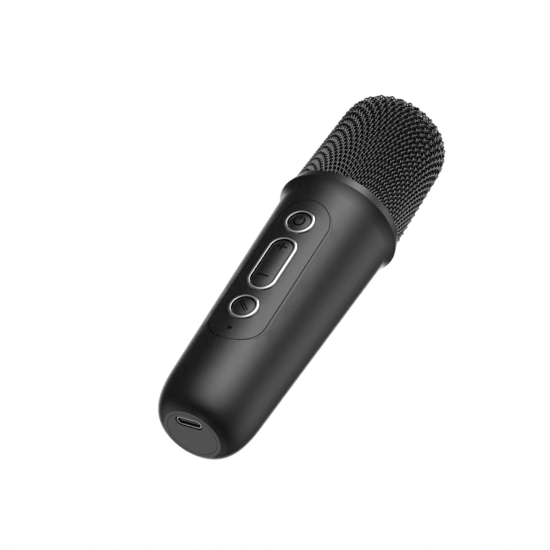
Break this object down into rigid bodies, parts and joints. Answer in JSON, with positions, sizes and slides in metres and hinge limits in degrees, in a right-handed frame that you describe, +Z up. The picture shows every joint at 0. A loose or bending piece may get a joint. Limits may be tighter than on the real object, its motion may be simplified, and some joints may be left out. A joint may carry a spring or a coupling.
{
  "type": "karaoke microphone",
  "caption": "Slim handheld karaoke microphone: tapered black barrel with an inlaid key panel, a flared collar, a domed woven-wire grille and a charging socket in its flat end.",
  "frame": {"origin": "centre of the flat end, on which the microphone stands", "axes": "+Z up the barrel's axis towards the grille, -Y out of the control panel, +X to the panel's right"},
  "size_m": [0.0428, 0.0428, 0.148],
  "materials": {
    "barrel_paint": "satin black painted ABS",
    "panel_plastic": "satin black moulding",
    "key_plastic": "semi-gloss black moulding",
    "ring_chrome": "bright chrome plate",
    "mesh_steel": "black lacquered woven steel wire",
    "inner_steel": "bright steel",
    "foam": "open-cell black foam",
    "inner_plastic": "black glass-filled moulding",
    "boot_rubber": "soft moulded silicone",
    "board": "green solder mask",
    "chip_epoxy": "moulded epoxy",
    "cell_wrap": "blue heat-shrink sleeve",
    "lead_insulation": "thin PVC insulation",
    "plug_white": "natural nylon",
    "light_clear": "clear acrylic",
    "capsule_can": "drawn can, plain"
  },
  "bodies": {
    "housing": {"body_shell": "barrel_paint", "end_cap": "barrel_paint", "collar_ring": "barrel_paint", "control_panel": "panel_plastic", "power_ring": "ring_chrome", "volume_ring": "ring_chrome", "mode_ring": "ring_chrome", "rocker_pin": "inner_steel", "status_lightpipe": "light_clear", "power_switch": "chip_epoxy", "volume_up_switch": "chip_epoxy", "volume_down_switch": "chip_epoxy", "mode_switch": "chip_epoxy", "main_pcb": "board", "board_screws": "inner_steel", "wireless_module": "inner_steel", "audio_chips": "chip_epoxy", "capacitors": "capsule_can", "status_led": "light_clear", "chassis": "inner_plastic", "chassis_screws": "inner_steel", "battery_cell": "cell_wrap", "battery_pad": "foam", "battery_plug": "plug_white", "battery_leads": "lead_insulation", "usb_shell": "inner_steel", "usb_tongue": "chip_epoxy", "grille_mesh": "mesh_steel", "grille_clamp": "inner_plastic", "windscreen": "foam", "capsule_cradle": "inner_plastic", "capsule_boot": "boot_rubber", "mic_capsule": "capsule_can", "capsule_cover": "capsule_can", "capsule_leads": "lead_insulation"},
    "power_key": {"power_button": "key_plastic", "power_plunger": "inner_plastic"},
    "mode_key": {"mode_button": "key_plastic", "mode_plunger": "inner_plastic"},
    "volume_key": {"volume_rocker": "key_plastic"},
    "volume_up_contact": {"volume_up_plunger": "inner_plastic"},
    "volume_down_contact": {"volume_down_plunger": "inner_plastic"}
  },
  "joints": [
    {"name": "power_press", "type": "slide", "parent": "housing", "child": "power_key", "axis": [0, 0.9992, 0.0397], "range_m": [0, 0.0003], "stiffness_N_per_m": 4000, "springref_m": -0.0003},
    {"name": "mode_press", "type": "slide", "parent": "housing", "child": "mode_key", "axis": [0, 0.9992, 0.0397], "range_m": [0, 0.0003], "stiffness_N_per_m": 4000, "springref_m": -0.0003},
    {"name": "volume_tilt", "type": "hinge", "parent": "housing", "child": "volume_key", "pos_m": [0, -0.01404, 0.05992], "axis": [1, 0, 0], "range_deg": [-2, 2], "stiffness_Nm_per_rad": 0.35},
    {"name": "volume_up_press", "type": "slide", "parent": "housing", "child": "volume_up_contact", "axis": [0, 1, 0], "range_m": [-0.00027, 0.00027]},
    {"name": "volume_down_press", "type": "slide", "parent": "housing", "child": "volume_down_contact", "axis": [0, 1, 0], "range_m": [-0.00027, 0.00027]}
  ],
  "couplings": [
    {"joint": "volume_up_press", "follows": "volume_tilt", "m_per_rad": -0.0065},
    {"joint": "volume_down_press", "follows": "volume_tilt", "m_per_rad": 0.0065}
  ]
}
